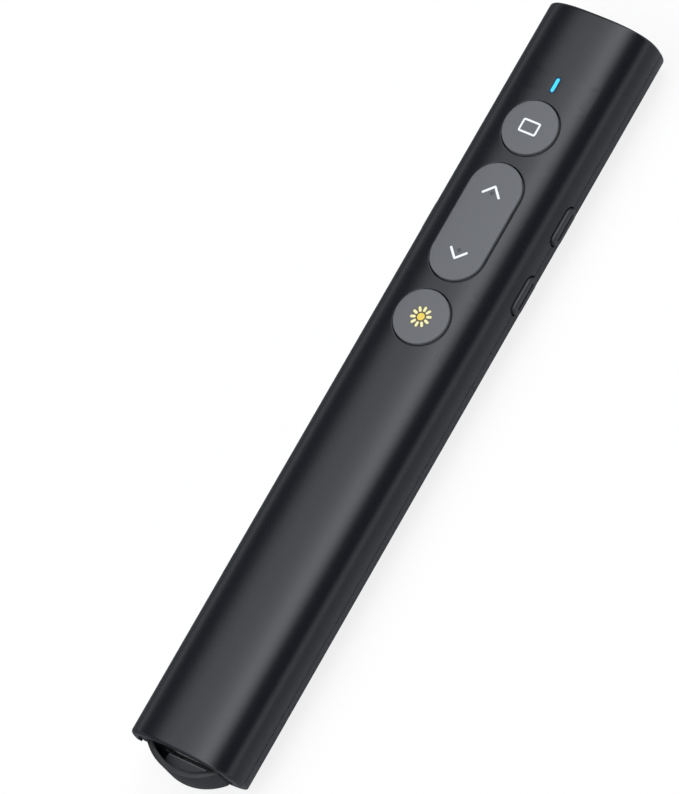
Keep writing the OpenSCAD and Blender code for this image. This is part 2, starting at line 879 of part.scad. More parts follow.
// The two leads, which run forward from the contacts' tabs and turn up to the board
module battery_leads() {
    for (lead = [[plus_x, frame_back - 0.8, [0.6, 0.1, 0.1]], [-minus_x, plate_back, [0.1, 0.1, 0.1]]])
        color(lead[2])
            translate([lead[0], 0, tab_z + tab_h / 2]) {
                long_pin(lead_r, lead_back, lead[1]);
                translate([0, y_at(lead_back), 0]) {
                    sphere(r = lead_r);
                    cylinder(r = lead_r, h = board_z - tab_z - tab_h / 2);
                }
            }
}

module receiver_bay() {
    mouth_h = bail_h / 2 + mouth_fit;
    color([0.1, 0.1, 0.11])
        difference() {
            along(bay_back, body_l - 0.3) section(inside);
            below(ledge_z - bay_drop);
            // The lower half ends short of the cover
            block(-lots, lots, body_l - cover_in - 0.3, lots, -1, split_z - seam);
            // Pocket for the USB-A plug
            block(-usb_a_w / 2 - bay_fit, usb_a_w / 2 + bay_fit, bay_back + bay_wall, lots,
                axis_z - usb_a_h / 2 - bay_fit, axis_z + usb_a_h / 2 + bay_fit);
            // Mouth for the housing and the bail
            block(-bail_w / 2 - mouth_side, bail_w / 2 + mouth_side, pivot_back - bail_h / 2 - 0.3, lots,
                axis_z - mouth_h, axis_z + mouth_h);
            // Ways for the cover's lips, and grooves for its tongues
            for (side = [-1, 1])
                block(side * lip_x - lip_w / 2 - 0.2, side * lip_x + lip_w / 2 + 0.2, 0, lots,
                    0, lip_z + lip_t + 0.2);
            for (side = [-1, 1])
                block(side > 0 ? tongue_x - 0.15 : -lots, side > 0 ? lots : 0.15 - tongue_x,
                    0, lots, ledge_z + ledge_t, groove_top);
            at_screws(bay_screws) {
                translate([0, 0, lug_t]) cylinder(r = boss_r + 0.2, h = body_h);
                cylinder(r = shank_r + clear, h = body_h);
                translate([0, 0, -head_h - 0.6]) cylinder(r = head_r + clear, h = head_h + 0.6);
            }
        }
}

module screws() {
    color([0.7, 0.7, 0.72])
        for (list = [board_screws, frame_screws, bay_screws, case_screws])
            at_screws(list) {
                translate([0, 0, -touch]) cylinder(r = shank_r, h = shank_l + touch);
                difference() {
                    translate([0, 0, -head_h]) cylinder(r = head_r, h = head_h);
                    for (turn = [0, 90]) rotate(turn)
                        translate([-head_r * 0.7, -0.15, -head_h - touch])
                            cube([head_r * 1.4, 0.3, head_h / 2]);
                }
            }
}

// A flat tube of sheet metal: w wide, h high, between two stations
module usb_a_shell() {
    color([0.85, 0.85, 0.83])
        difference() {
            block(-usb_a_w / 2, usb_a_w / 2, usb_a_tip, usb_a_root,
                axis_z - usb_a_h / 2, axis_z + usb_a_h / 2);
            block(-usb_a_w / 2 + sheet, usb_a_w / 2 - sheet, usb_a_tip - 1, usb_a_root - sheet,
                axis_z - usb_a_h / 2 + sheet, axis_z + usb_a_h / 2 - sheet);
            for (x = [-catch_x, catch_x])
                block(x - catch_w / 2, x + catch_w / 2, usb_a_tip + catch_in, usb_a_tip + catch_in + catch_l,
                    0, lots);
        }
}

module usb_a_tongue() {
    color([0.1, 0.1, 0.1])
        block(-usb_a_w / 2 + sheet, usb_a_w / 2 - sheet, usb_a_tip + 0.5, usb_a_root - sheet,
            axis_z - usb_a_h / 2 + sheet, axis_z - usb_a_h / 2 + sheet + tongue_h);
}

module usb_a_contacts() {
    z0 = axis_z - usb_a_h / 2 + sheet + tongue_h;
    color([0.85, 0.7, 0.3])
        for (x = a_contacts)
            block(x - a_contact_w / 2, x + a_contact_w / 2, usb_a_tip + 1.4, usb_a_root - 3.4,
                z0, z0 + 0.1);
}

module receiver_housing() {
    color([0.2, 0.2, 0.21]) {
        difference() {
            union() {
                block(-housing_w / 2, housing_w / 2, usb_a_root, housing_back,
                    axis_z - housing_h / 2, axis_z + housing_h / 2);
                along(housing_back - touch, housing_back + collar_out) c_outline(collar_more);
            }
            // Chamber for the board
            block(-receiver_board_w / 2 - clear, receiver_board_w / 2 + clear, usb_a_root - 1,
                usb_c_root - clear, axis_z - receiver_chamber_h / 2, axis_z + receiver_chamber_h / 2);
            along(usb_c_root - 0.2, housing_back + 1) c_outline(core_fit);
        }
        for (side = [-1, 1])
            translate([0, y_at(pivot_back), axis_z])
                cross_pin(pin_r, side > 0 ? housing_w / 2 - touch : -bail_w / 2 + 0.1,
                    side > 0 ? bail_w / 2 - 0.1 : touch - housing_w / 2);
    }
}

// The USB-C plug's outline, grown by more
module c_outline(more = 0) {
    h = usb_c_h + 2 * more;
    w = usb_c_w + 2 * more;
    translate([0, axis_z]) {
        for (side = [-1, 1]) translate([side * (w - h) / 2, 0]) circle(d = h);
        square([w - h, h], center = true);
    }
}

module receiver_board() {
    color([0.1, 0.35, 0.2])
        block(-receiver_board_w / 2, receiver_board_w / 2, usb_a_root + touch, usb_c_root - 0.2,
            axis_z - receiver_board_h / 2, axis_z + receiver_board_h / 2);
}

module usb_c_shell() {
    color([0.85, 0.85, 0.83])
        difference() {
            along(usb_c_root, housing_back + usb_c_l) c_outline();
            along(usb_c_root + c_wall, lots) c_outline(-c_wall);
        }
}

module usb_c_core() {
    color([0.06, 0.06, 0.06])
        difference() {
            along(usb_c_root + c_wall, housing_back + usb_c_l - 0.3) c_outline(-c_wall);
            along(housing_back + 1.2, lots) c_outline(-c_wall - c_sleeve);
        }
}

module usb_c_contacts() {
    color([0.85, 0.7, 0.3])
        for (side = [-1, 1], i = [-2.5:1:2.5]) {
            z = axis_z + side * (usb_c_h / 2 - c_wall - c_sleeve - c_contact_t / 2);
            block(i - 0.15, i + 0.15, housing_back + 1.5, housing_back + usb_c_l - 1.2,
                z - c_contact_t / 2, z + c_contact_t / 2);
        }
}

// The bail in plan: two arms and an arc, as thick as bail_t
module bail_plan(thick) {
    intersection() {
        difference() {
            translate([-bail_w / 2, y_at(body_l + lots)])
                square([bail_w, lots + body_l - pivot_back + bail_h / 2]);
            intersection() {
                translate([-arm_x, y_at(body_l + lots)]) square([2 * arm_x, 2 * lots]);
                union() {
                    translate([0, y_at(bail_back)]) circle(r = bail_r - thick, $fn = 120);
                    translate([-arm_x, y_at(bail_back)]) square([2 * arm_x, lots]);
                }
            }
        }
        union() {
            translate([0, y_at(bail_back)]) circle(r = bail_r, $fn = 120);
            translate([-bail_w / 2, y_at(body_l - touch)]) square([bail_w, lots]);
        }
    }
}

module bail() {
    color([0.17, 0.17, 0.18])
        difference() {
            intersection() {
                union() {
                    translate([0, 0, axis_z - bail_h / 2]) linear_extrude(bail_h) bail_plan(bail_t);
                    // Web inside the arc, across the tip of the USB-C plug
                    intersection() {
                        translate([0, 0, axis_z - bail_h / 2]) linear_extrude(web_h)
                            translate([0, y_at(bail_back)]) circle(r = bail_r - touch, $fn = 120);
                        block(-bail_w / 2, bail_w / 2, body_l - plug_in + web_fit, lots, 0, lots);
                    }
                }
                // Side view: round at the pivot
                union() {
                    translate([0, y_at(pivot_back), axis_z]) cross_pin(bail_h / 2, -bail_w / 2, bail_w / 2);
                    block(-bail_w / 2, bail_w / 2, pivot_back, lots,
                        axis_z - bail_h / 2, axis_z + bail_h / 2);
                }
            }
            translate([0, y_at(pivot_back), axis_z]) cross_pin(pin_r + pin_fit, -bail_w, bail_w);
        }
}

upper_shell();
lower_shell();
battery_cover();
front_cap();
laser_window();
laser_barrel();
laser_lens();
laser_diode();
light_pipe();
indicator_led();
circuit_board();
radio_chip();
crystal();
top_switches();
volume_switches();
power_switch_case();
power_switch_stem();
screen_button();
screen_plunger();
page_rocker();
page_plungers();
laser_button();
laser_plunger();
volume_up_button();
volume_up_plunger();
volume_down_button();
volume_down_plunger();
power_knob();
battery_frame();
plus_contact();
battery_can();
battery_terminal();
battery_spring();
spring_plate();
battery_leads();
receiver_bay();
screws();
usb_a_shell();
usb_a_tongue();
usb_a_contacts();
receiver_housing();
receiver_board();
usb_c_shell();
usb_c_core();
usb_c_contacts();
bail();
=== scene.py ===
"""Looks of a slim presentation clicker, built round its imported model.

Lengths in the shape functions are millimetres; a mesh is scaled to metres when it is made. The laser end is
+Y, the key face +Z, and the underside rests on z = 0. "Back" is a distance from the laser end to the tail.
"""
import json
import math

import bmesh
import bpy
import numpy as np
from mathutils import Matrix, Vector


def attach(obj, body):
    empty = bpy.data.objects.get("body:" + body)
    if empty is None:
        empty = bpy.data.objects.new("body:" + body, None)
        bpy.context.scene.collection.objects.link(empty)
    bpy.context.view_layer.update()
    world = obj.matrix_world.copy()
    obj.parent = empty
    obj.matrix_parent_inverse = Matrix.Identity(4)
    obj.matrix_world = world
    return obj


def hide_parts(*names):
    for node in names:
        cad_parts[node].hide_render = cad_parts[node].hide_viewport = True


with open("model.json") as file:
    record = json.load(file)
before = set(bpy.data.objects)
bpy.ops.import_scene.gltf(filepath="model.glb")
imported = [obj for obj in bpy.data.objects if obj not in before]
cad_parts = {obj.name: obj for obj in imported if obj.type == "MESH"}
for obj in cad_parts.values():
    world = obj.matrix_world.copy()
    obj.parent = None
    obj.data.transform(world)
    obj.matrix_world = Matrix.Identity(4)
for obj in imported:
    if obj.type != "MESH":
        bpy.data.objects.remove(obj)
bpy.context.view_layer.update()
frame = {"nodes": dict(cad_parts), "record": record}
MM = 0.001

# The body's section is a superellipse about the axis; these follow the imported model
HALF_W = 10.9
HALF_H = 6.87
AXIS_Z = 6.73
SECTION_E = 2.75
FRONT_Y = 73.25
TAIL_Y = -70.25
LENGTH = FRONT_Y - TAIL_Y
END_ROUND = 0.6         # rounding of the shells' ends
END_FLAT = 0.02         # the skin's ends lie this far inside the model's
END_RIM = 0.06          # width of the flat rim inside an end's rounding
COVER_IN = 0.8          # the battery cover ends this far before the tail
COVER_ROUND = 0.25      # rounding of the cover's tail end
SKIN = 0.012            # the moulded skin lies this far inside the model's faceted one
LOWEST = 0.005          # and at least this far above the surface that the body rests on

# Backs of the middles of the window and keys
LIGHT = 14.4
SCREEN = 23.0
PAGE = 41.6
LASER = 60.3
VOLUME_UP = 34.7
VOLUME_DOWN = 48.3
KNOB = 42.1

# Round-ended outlines of the keys and window: radius, half length of the straight spine, height of the crown
# over the section, rounding of the edge
KEY_RADIUS, KEY_LIFT, KEY_EDGE, PAGE_SPINE = 4.985, 0.42, 0.17, 6.2
VOLUME_RADIUS, VOLUME_SPINE, VOLUME_EDGE = 1.345, 2.275, 0.22
VOLUME_OFFSET = -0.2    # the volume keys lie this far off the side's midline
KNOB_RADIUS, KNOB_SPINE, KNOB_EDGE = 1.645, 2.1, 0.25
SIDE_LIFT = 0.495
WINDOW_RADIUS, WINDOW_SPINE, WINDOW_EDGE = 0.448, 1.1, 0.1
WINDOW_TOP = 13.545     # height of the window's flat face

# Openings round them: radius and rounding of the edge
KEY_OPENING, VOLUME_OPENING, KNOB_OPENING, WINDOW_OPENING = 5.2, 1.55, 1.85, 0.48
OPENING_EDGE, WINDOW_OPENING_EDGE = 0.12, 0.05
KNOB_TRAVEL = 1.0       # half the knob's slide, which its opening is longer by each way


# ---------------------------------------------------------------- meshes

FLAT_TURN = 0.5         # degrees under which neighbouring faces count as one flat
SQUARE_ON = 0.9999      # |y| of the normal over which a face counts as square to the body's length
EASE_ANGLE = 35         # degrees between faces over which an edge is rounded, and then shaded sharp


def mesh_from(name, points, faces, smooth_angle=30):
    """A mesh from millimetre points and blocks of faces, a block being an array with one face a row. Its
    doubles are merged, its normals point outward and it is smooth up to an angle."""
    mesh = bpy.data.meshes.new(name)
    mesh.from_pydata((points * MM).tolist(), [], [face for block in faces for face in block.tolist()])
    tidy_mesh(mesh, smooth_angle)
    return mesh


def tidy_mesh(mesh, smooth_angle=30, merge=1e-6, flat_merge=False):
    """Merges doubles, drops faces without area, turns faces outward and sets smooth shading up to an angle.
    merge is in metres; flat_merge joins neighbouring faces that lie in one plane."""
    work = bmesh.new()
    work.from_mesh(mesh)
    bmesh.ops.remove_doubles(work, verts=work.verts, dist=merge)
    bmesh.ops.dissolve_degenerate(work, edges=work.edges, dist=merge)
    if flat_merge:
        flat = math.radians(FLAT_TURN)
        bmesh.ops.dissolve_limit(work, verts=work.verts, edges=work.edges, angle_limit=flat)
    loose = [v for v in work.verts if not v.link_faces]
    bmesh.ops.delete(work, geom=loose, context="VERTS")
    bmesh.ops.recalc_face_normals(work, faces=work.faces)
    work.to_mesh(mesh)
    work.free()
    mesh.polygons.foreach_set("use_smooth", np.ones(len(mesh.polygons), dtype=bool))
    mesh.set_sharp_from_angle(angle=math.radians(smooth_angle))
    mesh.update()


def place(name, mesh, body, material, slot, stands_for=()):
    """Links a mesh as a piece that rides on a body and, if asked, stands for model nodes."""
    piece = bpy.data.objects.new(name, mesh)
    bpy.context.scene.collection.objects.link(piece)
    mesh.materials.clear()
    mesh.materials.append(material)
    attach(piece, body)
    if stands_for:
        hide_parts(*stands_for)


def loft_faces(rows, columns, base=0):
    """Quads between neighbouring rings of a grid. Point c of ring r has the number r * columns + c, and the
    last point of a ring joins its first."""
    r, c = np.mgrid[0:rows - 1, 0:columns]
    here, after = r * columns + c, r * columns + (c + 1) % columns
    return np.stack([here, after, after + columns, here + columns], -1).reshape(-1, 4) + base


def node_copy(node, flat_merge=False):
    """A merged copy of a model node's mesh, its loose triangles joined."""
    mesh = frame["nodes"][node].data.copy()
    tidy_mesh(mesh, merge=2e-7, flat_merge=flat_merge)
    return mesh


def shaped(mesh, kind, settings, helpers=()):
    """The mesh as one modifier leaves it. helpers are the objects that the modifier works with."""
    solid = bpy.data.objects.new("solid", mesh)
    objects = (solid, *helpers)
    for part in objects:
        bpy.context.scene.collection.objects.link(part)
    modifier = solid.modifiers.new("shape", kind)
    for key, value in settings.items():
        setattr(modifier, key, value)
    graph = bpy.context.evaluated_depsgraph_get()
    done = bpy.data.meshes.new_from_object(solid.evaluated_get(graph))
    for part in objects:
        bpy.data.objects.remove(part)
    return done


def intersected(node, envelope):
    """The model node cut back to a smooth envelope, as one mesh."""
    cutter = bpy.data.objects.new("cutter", envelope)
    settings = {"operation": "INTERSECT", "object": cutter, "solver": "MANIFOLD"}
    mesh = shaped(node_copy(node), "BOOLEAN", settings, [cutter])
    tidy_mesh(mesh)
    sharpen_ends(mesh)
    return mesh


def eased(node, edge):
    """A merged copy of a node with its flat triangles joined and its edges rounded by a Bevel modifier."""
    settings = {"width": edge * MM, "segments": 2, "limit_method": "ANGLE",
                "angle_limit": math.radians(EASE_ANGLE), "use_clamp_overlap": True}
    mesh = shaped(node_copy(node, flat_merge=True), "BEVEL", settings)
    tidy_mesh(mesh, EASE_ANGLE, 1e-7)
    return mesh


def sharpen_ends(mesh):
    """Keeps the faces square to the body's length flat to the eye: all their edges are sharp."""
    faces, corners = len(mesh.polygons), len(mesh.loops)
    normal, total, edge = np.empty(faces * 3), np.empty(faces, int), np.empty(corners, int)
    mesh.polygons.foreach_get("normal", normal)
    mesh.polygons.foreach_get("loop_total", total)
    mesh.loops.foreach_get("edge_index", edge)
    flat = np.repeat(np.abs(normal[1::3]) > SQUARE_ON, total)
    sharp = mesh.attributes.get("sharp_edge") or mesh.attributes.new("sharp_edge", "BOOLEAN", "EDGE")
    marks = np.empty(len(mesh.edges), bool)
    sharp.data.foreach_get("value", marks)
    marks[edge[flat]] = True
    sharp.data.foreach_set("value", marks)
    mesh.update()


# ---------------------------------------------------------------- the body's smooth skin

# The section's outline has bands with evenly spaced points on its sides and faces, so that patches fit in:
# half extents of the bands, and points on a band and on a shoulder
SIDE_BAND, TOP_BAND = 2.9, 7.4
SIDE_POINTS, TOP_POINTS, SHOULDER_POINTS = 17, 49, 16
FIRST_TOP = SIDE_POINTS + SHOULDER_POINTS
FIRST_LEFT = FIRST_TOP + TOP_POINTS + SHOULDER_POINTS
# First and last point of each face's band
BANDS = {"right": (0, SIDE_POINTS - 1), "top": (FIRST_TOP, FIRST_TOP + TOP_POINTS - 1),
         "left": (FIRST_LEFT, FIRST_LEFT + SIDE_POINTS - 1)}

EDGE_TURNS = np.radians([0, 18, 36, 54, 72, 90])    # steps of a quarter circle
RIM_SHARES = (0.2, 0.4, 0.6, 0.8, 0.92)             # steps from a patch's rim to its opening
FINE_STRETCH = (11, 66)                             # backs between which the rows lie close
FINE_PITCH, WIDE_PITCH = 1.0, 3.0

# Openings in the skin: face, back of the middle, how far off the face's midline, radius, half length of the
# spine, edge rounding, and the stretch that the patch round it takes, from and to
OPENINGS = [
    ("top", LIGHT, 0.0, WINDOW_OPENING, WINDOW_SPINE, WINDOW_OPENING_EDGE, 12.0, 16.8),
    ("top", SCREEN, 0.0, KEY_OPENING, 0.0, OPENING_EDGE, 16.8, 29.2),
    ("top", PAGE, 0.0, KEY_OPENING, PAGE_SPINE, OPENING_EDGE, 29.2, 54.1),
    ("top", LASER, 0.0, KEY_OPENING, 0.0, OPENING_EDGE, 54.1, 66.5),
    ("right", VOLUME_UP, VOLUME_OFFSET, VOLUME_OPENING, VOLUME_SPINE, OPENING_EDGE, 30.1, 39.3),
    ("right", VOLUME_DOWN, VOLUME_OFFSET, VOLUME_OPENING, VOLUME_SPINE, OPENING_EDGE, 43.7, 52.9),
    ("left", KNOB + KNOB_TRAVEL, 0.0, KNOB_OPENING, KNOB_SPINE + KNOB_TRAVEL, OPENING_EDGE, 37.3, 48.9),
]


def upper(x, inset=0.0):
    """Height of the section over the axis at x: b (1 - |x/a|^e)^(1/e), both half axes less the inset."""
    return (HALF_H - inset) * (1 - (np.abs(x) / (HALF_W - inset)) ** SECTION_E) ** (1 / SECTION_E)


def beside(h, inset=0.0):
    """Half width of the section at height h from the axis: a (1 - |h/b|^e)^(1/e)."""
    return (HALF_W - inset) * (1 - (np.abs(h) / (HALF_H - inset)) ** SECTION_E) ** (1 / SECTION_E)


def ring(inset):
    """The section's outline from the right side round over the top: evenly spaced bands on the sides and
    faces, even polar angles on the shoulders, where the reach at a turn t is
    (|cos t/a|^e + |sin t/b|^e)^(-1/e). A quarter is mirrored to a half, and that to the whole."""
    x0, h1 = beside(SIDE_BAND, inset), upper(TOP_BAND, inset)
    turn = np.linspace(math.atan2(SIDE_BAND, x0), math.atan2(h1, TOP_BAND), SHOULDER_POINTS + 2)[1:-1]
    reach = ((np.abs(np.cos(turn)) / (HALF_W - inset)) ** SECTION_E
             + (np.abs(np.sin(turn)) / (HALF_H - inset)) ** SECTION_E) ** (-1 / SECTION_E)
    h = np.linspace(0, SIDE_BAND, SIDE_POINTS // 2 + 1)
    x = np.linspace(TOP_BAND, 0, TOP_POINTS // 2 + 1)
    quarter = np.concatenate([
        np.stack([beside(h, inset), h], -1),
        np.stack([reach * np.cos(turn), reach * np.sin(turn)], -1),
        np.stack([x, upper(x, inset)], -1)])
    half = np.concatenate([quarter, quarter[:-1][::-1] * (-1, 1)])
    outline = np.concatenate([half, half[1:-1][::-1] * (1, -1)])
    outline = np.roll(outline, SIDE_POINTS // 2, axis=0)
    outline[:, 1] = np.maximum(outline[:, 1], LOWEST - AXIS_Z)
    return outline


def skin_rows(total, tail_round):
    """Backs of the skin's rows: every patch limit, with even steps filled in between."""
    stops = sorted({stop for opening in OPENINGS for stop in opening[6:]} | {END_ROUND, total - tail_round})
    rows = []
    for a, b in zip(stops[:-1], stops[1:]):
        pitch = FINE_PITCH if FINE_STRETCH[0] < a < FINE_STRETCH[1] else WIDE_PITCH
        rows.extend(np.linspace(a, b, max(1, round((b - a) / pitch)) + 1)[:-1])
    return np.array(rows + [stops[-1]])


def on_skin(face, across, back, depth):
    """Points on a face of the skin: across it, back along the body, and sunk in by depth."""
    y = FRONT_Y - back
    if face == "top":
        return np.stack([across, y, AXIS_Z + upper(across, SKIN) - depth], -1)
    side = 1 if face == "right" else -1
    return np.stack([side * (beside(across, SKIN) - depth), y, AXIS_Z + across], -1)


def slot_patch(face, loop, middle, offset, radius, spine, rounding):
    """Rings from a patch's rim to an opening: the rim eases over to the opening's outline, a quarter circle
    turns down into it, and a floor closes on the opening's spine."""
    across, back = loop
    foot = np.stack([np.full_like(across, offset), middle + np.clip(back - middle, -spine, spine)])
    way = np.stack([across, back]) - foot
    way = way / np.hypot(*way)
    rim = foot + way * (radius + rounding)
    rings = []
    for share in RIM_SHARES:
        at = np.stack([across, back]) * (1 - share) + rim * share
        rings.append(on_skin(face, at[0], at[1], 0))
    for turn in EDGE_TURNS:
        at = foot + way * (radius + rounding * (1 - math.sin(turn)))
        rings.append(on_skin(face, at[0], at[1], rounding * (1 - math.cos(turn))))
    rings.append(on_skin(face, foot[0], foot[1], rounding))
    return rings


def end_rows(edge):
    """Distances in from an end and from the section: the middle, the flat rim, then a quarter circle."""
    turns = EDGE_TURNS[:0:-1]
    return (np.concatenate([[END_FLAT, END_FLAT], END_FLAT + edge * (1 - np.sin(turns))]),
            SKIN + np.concatenate([[edge + END_RIM, edge + END_RIM], edge * (1 - np.cos(turns))]))


def body_skin(total=LENGTH, tail_round=END_ROUND):
    """The closed moulded skin: section rings along the body, quarter-circle ends with a flat rim inside them,
    a patch at each opening. total is its length from the laser end."""
    backs = skin_rows(total, tail_round)
    front_backs, front_insets = end_rows(END_ROUND)
    tail_backs, tail_insets = end_rows(tail_round)
    stations = np.concatenate([front_backs, backs, (total - tail_backs)[::-1]])
    insets = np.concatenate([front_insets, SKIN + np.zeros(len(backs)), tail_insets[::-1]])
    shrink = np.ones(len(stations))
    shrink[[0, -1]] = 0
    count = len(ring(0))
    points = []
    for back, inset, keep in zip(stations, insets, shrink):
        outline = ring(inset) * keep
        points.append(np.stack([outline[:, 0], np.full(count, FRONT_Y - back), AXIS_Z + outline[:, 1]], -1))
    points = np.concatenate(points)
    faces = loft_faces(len(stations), count)
    rows, cols = np.divmod(np.arange(len(faces)), count)
    kept = np.ones(len(faces), dtype=bool)
    patch_points, patch_faces, total_points = [], [], len(points)
    for face, middle, offset, radius, spine, rounding, start, stop in OPENINGS:
        r0, r1 = [len(front_backs) + int(np.argmin(np.abs(backs - limit))) for limit in (start, stop)]
        c0, c1 = BANDS[face]
        kept &= ~((rows >= r0) & (rows < r1) & (cols >= c0) & (cols < c1))
        loop = np.concatenate([
            r0 * count + np.arange(c0, c1), np.arange(r0, r1) * count + c1,
            r1 * count + np.arange(c1, c0, -1), np.arange(r1, r0, -1) * count + c0])
        at = points[loop]
        across = at[:, 0] if face == "top" else at[:, 2] - AXIS_Z
        rings = slot_patch(face, (across, FRONT_Y - at[:, 1]), middle, offset, radius, spine, rounding)
        n = len(loop)
        patch_faces += [np.stack([loop, np.roll(loop, -1), total_points + (np.arange(n) + 1) % n,
                                  total_points + np.arange(n)], -1),
                        loft_faces(len(rings), n, total_points)]
        patch_points += rings
        total_points += n * len(rings)
    return mesh_from("skin", np.concatenate([points] + patch_points), [faces[kept]] + patch_faces)


# ---------------------------------------------------------------- key caps

CROWN_SHARES = (0.3, 0.6, 0.85)                         # steps over the crown
CAP_TURNS = np.radians([0, 15, 30, 45, 60, 75, 90])     # steps of the cap's edge


def cap_envelope(face, middle, offset, radius, spine, lift, rounding, skirt, foot, spread):
    """A closed cap: a crown that lies lift above the section (or at that height, if flat), a quarter-circle
    edge, a straight wall down to the skirt, and a broad block under that down to the foot. Rings follow a
    round-ended outline: a spine point at either end plus a radius in even turns."""
    turn = np.linspace(0, 2 * math.pi, 121)[:-1]
    way = np.stack([np.cos(turn), np.sin(turn)])
    foot_line = np.stack([np.full_like(turn, offset), middle + spine * np.sign(np.round(np.sin(turn), 9))])

    def crown(at):
        """How far out the crown lies at points across and back."""
        if face == "top":
            return AXIS_Z + upper(at[0], -lift)
        return np.full_like(at[0], lift if face == "flat" else beside(0.0) + lift)

    def in_space(at, out):
        """Points across and back, and how far out they lie, as points in space."""
        y = FRONT_Y - at[1]
        if face in ("top", "flat"):
            return np.stack([at[0], y, out], -1)
        return np.stack([-out if face == "left" else out, y, AXIS_Z + at[0]], -1)

    rings = [in_space(foot_line, crown(foot_line))]
    for share in CROWN_SHARES:
        at = foot_line + way * (radius - rounding) * share
        rings.append(in_space(at, crown(at)))
    for bend in CAP_TURNS:
        at = foot_line + way * (radius - rounding * (1 - math.sin(bend)))
        rings.append(in_space(at, crown(at) - rounding * (1 - math.cos(bend))))
    for reach, out in ((radius, skirt), (radius + spread, skirt), (radius + spread, foot), (0, foot)):
        rings.append(in_space(foot_line + way * reach, np.full_like(turn, out)))
    return mesh_from("cap", np.concatenate(rings), [loft_faces(len(rings), len(turn))])


# ---------------------------------------------------------------- thin inlays

INLAY_DEPTH = 0.08      # how thick an inlay is
THINNEST = 0.004        # half width of an inlay at its very ends
RUN_STEPS, END_STEPS, SPOT_STEPS, CORNER_STEPS = 9, 7, 17, 6


def key_crown(x):
    """Height of the key caps' crown at x."""
    return AXIS_Z + upper(x, -KEY_LIFT)


def window_crown(x):
    """Height of the indicator window's flat face."""
    return np.full_like(x, WINDOW_TOP)


def inlay(path, half_widths, lift, closed=False, crown=key_crown):
    """A thin inlay that follows a crown: a profile of three points on top and two below, as wide as given at
    each point, carried along a path in plan (x, back)."""
    path = np.asarray(path, float)
    half = np.broadcast_to(np.asarray(half_widths, float), len(path))
    if closed:
        way = np.roll(path, -1, 0) - np.roll(path, 1, 0)
    else:
        way = np.gradient(path, axis=0)
    way /= np.linalg.norm(way, axis=1)[:, None]
    normal = np.stack([-way[:, 1], way[:, 0]], -1)
    lines = []
    for side, sink in ((-1, 0.0), (0, 0.0), (1, 0.0), (1, INLAY_DEPTH), (-1, INLAY_DEPTH)):
        at = path + normal * (half * side)[:, None]
        lines.append(np.stack([at[:, 0], FRONT_Y - at[:, 1], crown(at[:, 0]) + lift - sink], -1))
    grid = np.stack(lines, 1)
    count, width = grid.shape[:2]
    first = np.arange(width)
    last = (count - 1) * width + first
    if closed:
        ends = np.stack([last, np.roll(last, -1), np.roll(first, -1), first], -1)
    else:
        ends = np.stack([first, last])
    return grid.reshape(-1, 3), [loft_faces(count, width), ends]


def joined(name, parts):
    """Several lots of points and face blocks as one mesh."""
    points, faces, base = [], [], 0
    for part_points, blocks in parts:
        points.append(part_points)
        faces += [block + base for block in blocks]
        base += len(part_points)
    return mesh_from(name, np.concatenate(points), faces, 40)


def stroke(points, width):
    """A drawn line with round ends: straight runs between points; within a radius r of either end the half
    width is sqrt(r^2 - (r - d)^2) at a distance d from it."""
    points = np.asarray(points, float)
    runs = np.linalg.norm(np.diff(points, axis=0), axis=1)
    length = runs.sum()
    r = width / 2
    ends = r * (1 - np.cos(np.linspace(0, math.pi / 2, END_STEPS)))
    even = np.linspace(0, length, RUN_STEPS * (len(points) - 1) + 1)
    along = np.unique(np.concatenate([ends, length - ends, even]))
    corners = np.concatenate([[0], np.cumsum(runs)])
    path = np.stack([np.interp(along, corners, points[:, i]) for i in (0, 1)], -1)
    near = np.minimum(np.minimum(along, length - along), r)
    return path, np.maximum(np.sqrt(np.maximum(r * r - (r - near) ** 2, 0)), THINNEST)


def spot(x, back, radius):
    """A round dot as a stroke: at a turn t its point is -r cos t along and its half width r sin t."""
    bend = np.linspace(0, math.pi, SPOT_STEPS)
    path = np.stack([np.full(SPOT_STEPS, x), back - radius * np.cos(bend)], -1)
    return path, np.maximum(radius * np.sin(bend), THINNEST)


def frame_path(x, back, w, l, corner):
    """A closed rectangle with quarter-circle corners, w across and l along."""
    out = []
    for k, (sx, sy) in enumerate([(1, 1), (-1, 1), (-1, -1), (1, -1)]):
        turn = np.radians(np.linspace(0, 90, CORNER_STEPS) + 90 * k)
        out.append(np.stack([x + sx * (w / 2 - corner) + corner * np.cos(turn),
                             back + sy * (l / 2 - corner) + corner * np.sin(turn)], -1))
    return np.concatenate(out)


# ---------------------------------------------------------------- materials

def linear(code):
    """sRGB hex to linear colour."""
    rgb = np.array([int(code[i:i + 2], 16) / 255 for i in (1, 3, 5)])
    rgb = np.where(rgb <= 0.04045, rgb / 12.92, ((rgb + 0.055) / 1.055) ** 2.4)
    return (*rgb.tolist(), 1.0)


def add(tree, kind, settings=None, links=()):
    """Adds a node to a tree, with its settings and the sockets linked into it."""
    new = tree.nodes.new(kind)
    for key, value in (settings or {}).items():
        if isinstance(key, str) and hasattr(new, key):
            setattr(new, key, value)
        else:
            new.inputs[key].default_value = value
    for socket, (source, out) in dict(links).items():
        tree.links.new(source.outputs[out], new.inputs[socket])
    return new


